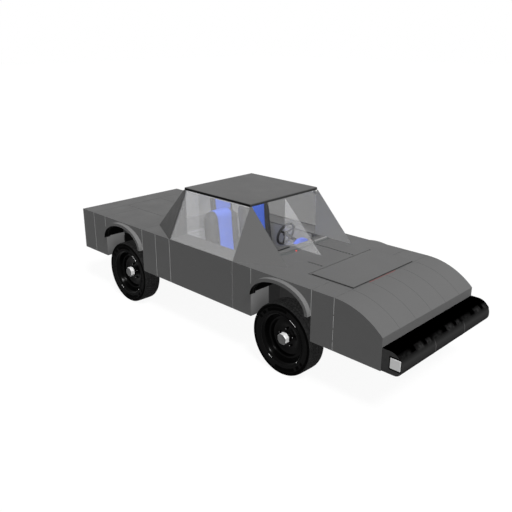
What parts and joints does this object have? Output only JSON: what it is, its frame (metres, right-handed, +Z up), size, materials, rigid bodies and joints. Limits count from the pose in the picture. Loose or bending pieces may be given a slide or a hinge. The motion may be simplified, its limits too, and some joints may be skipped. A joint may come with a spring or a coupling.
{
  "type": "vintage two-door car",
  "caption": "Boxy two-door vintage car on large black wheels, with opening doors, hood and trunk lid, steering and a furnished cabin.",
  "frame": {"origin": "on the ground, under the middle of the car's box", "axes": "+X forward, +Y to the car's left, +Z up"},
  "size_m": [5.27, 1.792, 1.7039],
  "materials": {
    "body_paint": "satin",
    "flare_paint": "satin",
    "dark_liner": "matt",
    "dark_trim": "matt",
    "bumper_black": "gloss",
    "chassis_black": "satin",
    "cast_engine": "as cast",
    "tyre_rubber": "matt",
    "wheel_black": "gloss",
    "cap_chrome": "polished",
    "window_glass": "clear",
    "clear_glass": "clear",
    "lamp_lens": "gloss",
    "tail_lens": "gloss",
    "seat_vinyl": "satin",
    "seat_blue": "woven",
    "panel_blue": "gloss"
  },
  "bodies": {
    "chassis": {"floor_tub": "chassis_black", "frame_rails": "chassis_black", "tail_panel": "body_paint", "rear_deck": "body_paint", "quarter_left": "body_paint", "quarter_right": "body_paint", "fender_left": "body_paint", "fender_right": "body_paint", "nose_panel": "body_paint", "cowl": "body_paint", "roof": "body_paint", "a_pillars": "body_paint", "c_pillars": "body_paint", "windscreen": "clear_glass", "windscreen_web": "window_glass", "rear_web": "window_glass", "rear_glass": "clear_glass", "crossmembers": "chassis_black", "tow_eyes": "chassis_black", "wheel_flares": "flare_paint", "wheel_housings": "dark_liner", "front_bumper": "bumper_black", "bumper_lamps": "lamp_lens", "dashboard": "dark_trim", "instrument_panel": "panel_blue", "steering_column": "dark_trim", "seat_shells": "seat_vinyl", "seat_inserts": "seat_blue", "front_axle": "chassis_black", "rear_axle": "chassis_black", "leaf_springs": "chassis_black", "engine_block": "cast_engine", "tail_lamps": "tail_lens"},
    "steered_left": {"knuckle_left": "chassis_black"},
    "steered_right": {"knuckle_right": "chassis_black"},
    "steering_wheel": {"steering_wheel": "dark_trim"},
    "door_left": {"door_left": "body_paint", "side_glass_left": "window_glass"},
    "door_right": {"door_right": "body_paint", "side_glass_right": "window_glass"},
    "hood": {"hood": "body_paint"},
    "trunk_lid": {"trunk_lid": "body_paint"},
    "wheel_front_left": {"tyre_front_left": "tyre_rubber", "rim_front_left": "wheel_black", "hub_cap_front_left": "cap_chrome"},
    "wheel_front_right": {"tyre_front_right": "tyre_rubber", "rim_front_right": "wheel_black", "hub_cap_front_right": "cap_chrome"},
    "wheel_rear_left": {"tyre_rear_left": "tyre_rubber", "rim_rear_left": "wheel_black", "hub_cap_rear_left": "cap_chrome"},
    "wheel_rear_right": {"tyre_rear_right": "tyre_rubber", "rim_rear_right": "wheel_black", "hub_cap_rear_right": "cap_chrome"}
  },
  "joints": [
    {"name": "steer_left", "type": "hinge", "parent": "chassis", "child": "steered_left", "pos_m": [1.148, 0.662, 0.408], "axis": [0, 0, 1], "range_deg": [-30, 30]},
    {"name": "steer_right", "type": "hinge", "parent": "chassis", "child": "steered_right", "pos_m": [1.148, -0.662, 0.408], "axis": [0, 0, 1], "range_deg": [-30, 30]},
    {"name": "steering_wheel_turn", "type": "hinge", "parent": "chassis", "child": "steering_wheel", "pos_m": [0.2, 0.294, 1.121], "axis": [-0.9613, 0, 0.2756], "range_deg": [-420, 420]},
    {"name": "door_left_swing", "type": "hinge", "parent": "chassis", "child": "door_left", "pos_m": [0.43, 0.828, 0.833], "axis": [0, 0, -1], "range_deg": [0, 65]},
    {"name": "door_right_swing", "type": "hinge", "parent": "chassis", "child": "door_right", "pos_m": [0.43, -0.828, 0.833], "axis": [0, 0, 1], "range_deg": [0, 65]},
    {"name": "hood_lift", "type": "hinge", "parent": "chassis", "child": "hood", "pos_m": [1.286, 0, 1.101], "axis": [0, -1, 0], "range_deg": [0, 60]},
    {"name": "trunk_lid_lift", "type": "hinge", "parent": "chassis", "child": "trunk_lid", "pos_m": [-1.546, 0, 1.101], "axis": [0, 1, 0], "range_deg": [0, 70]},
    {"name": "wheel_front_left_spin", "type": "hinge", "parent": "steered_left", "child": "wheel_front_left", "pos_m": [1.148, 0.7, 0.408], "axis": [0, 1, 0], "continuous": true},
    {"name": "wheel_front_right_spin", "type": "hinge", "parent": "steered_right", "child": "wheel_front_right", "pos_m": [1.148, -0.7, 0.408], "axis": [0, 1, 0], "continuous": true},
    {"name": "wheel_rear_left_spin", "type": "hinge", "parent": "chassis", "child": "wheel_rear_left", "pos_m": [-1.652, 0.7, 0.408], "axis": [0, 1, 0], "continuous": true},
    {"name": "wheel_rear_right_spin", "type": "hinge", "parent": "chassis", "child": "wheel_rear_right", "pos_m": [-1.652, -0.7, 0.408], "axis": [0, 1, 0], "continuous": true}
  ],
  "couplings": [
    {"joint": "steer_right", "follows": "steer_left", "ratio": 1},
    {"joint": "steering_wheel_turn", "follows": "steer_left", "ratio": 14}
  ]
}
